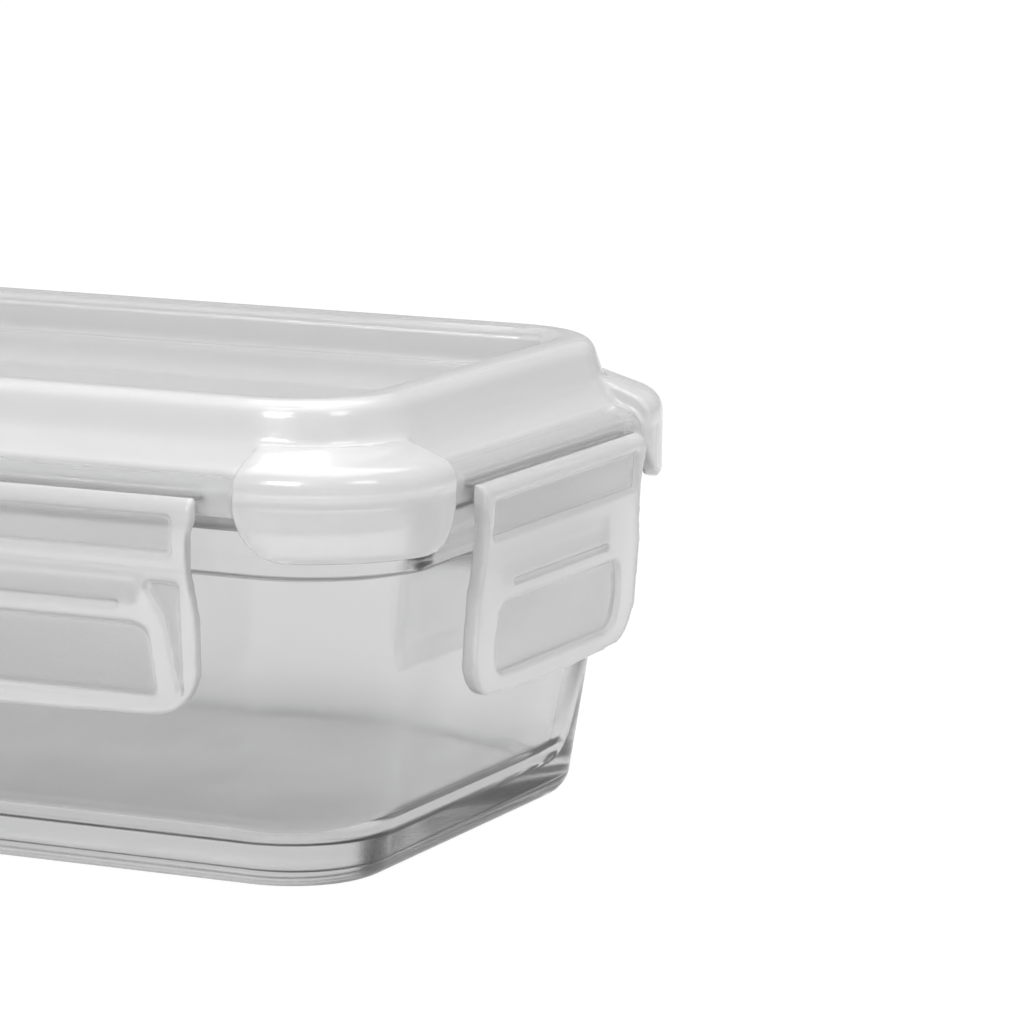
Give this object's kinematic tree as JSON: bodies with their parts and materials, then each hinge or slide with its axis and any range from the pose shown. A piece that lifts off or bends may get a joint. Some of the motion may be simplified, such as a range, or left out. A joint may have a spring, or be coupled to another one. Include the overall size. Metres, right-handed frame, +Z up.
{
  "type": "snap lid food container",
  "caption": "Small rectangular clear glass food box with a frosted plastic lid, a seal ring and hinged snap flaps on every side.",
  "frame": {"origin": "middle of the container's plan, on the table under the glass base", "axes": "+X along the long side, +Y along the short side towards the back, +Z up out of the lid"},
  "size_m": [0.1498, 0.1078, 0.0638],
  "materials": {
    "clear_glass": "clear polished",
    "frosted_lid": "translucent, satin",
    "silicone": "translucent, matt"
  },
  "bodies": {
    "bowl": {"glass_body": "clear_glass"},
    "lid": {"lid_shell": "frosted_lid", "gasket": "silicone", "hinge_film_front": "frosted_lid", "hinge_film_right": "frosted_lid", "hinge_film_back": "frosted_lid", "hinge_film_left": "frosted_lid"},
    "flap_front": {"flap_front": "frosted_lid", "locking_rib_front": "frosted_lid"},
    "flap_right": {"flap_right": "frosted_lid", "locking_rib_right": "frosted_lid"},
    "flap_back": {"flap_back": "frosted_lid", "locking_rib_back": "frosted_lid"},
    "flap_left": {"flap_left": "frosted_lid", "locking_rib_left": "frosted_lid"}
  },
  "joints": [
    {"name": "lid_lift", "type": "slide", "parent": "bowl", "child": "lid", "axis": [0, 0, 1], "range_m": [0, 0.08], "deforming": ["locking_rib_front", "locking_rib_right", "locking_rib_back", "locking_rib_left"]},
    {"name": "flap_front_hinge", "type": "hinge", "parent": "lid", "child": "flap_front", "pos_m": [0, -0.051, 0.0521], "axis": [-1, 0, 0], "range_deg": [0, 105], "deforming": ["hinge_film_front"]},
    {"name": "flap_right_hinge", "type": "hinge", "parent": "lid", "child": "flap_right", "pos_m": [0.072, 0, 0.0521], "axis": [0, -1, 0], "range_deg": [0, 105], "deforming": ["hinge_film_right"]},
    {"name": "flap_back_hinge", "type": "hinge", "parent": "lid", "child": "flap_back", "pos_m": [0, 0.051, 0.0521], "axis": [1, 0, 0], "range_deg": [0, 105], "deforming": ["hinge_film_back"]},
    {"name": "flap_left_hinge", "type": "hinge", "parent": "lid", "child": "flap_left", "pos_m": [-0.072, 0, 0.0521], "axis": [0, 1, 0], "range_deg": [0, 105], "deforming": ["hinge_film_left"]}
  ]
}
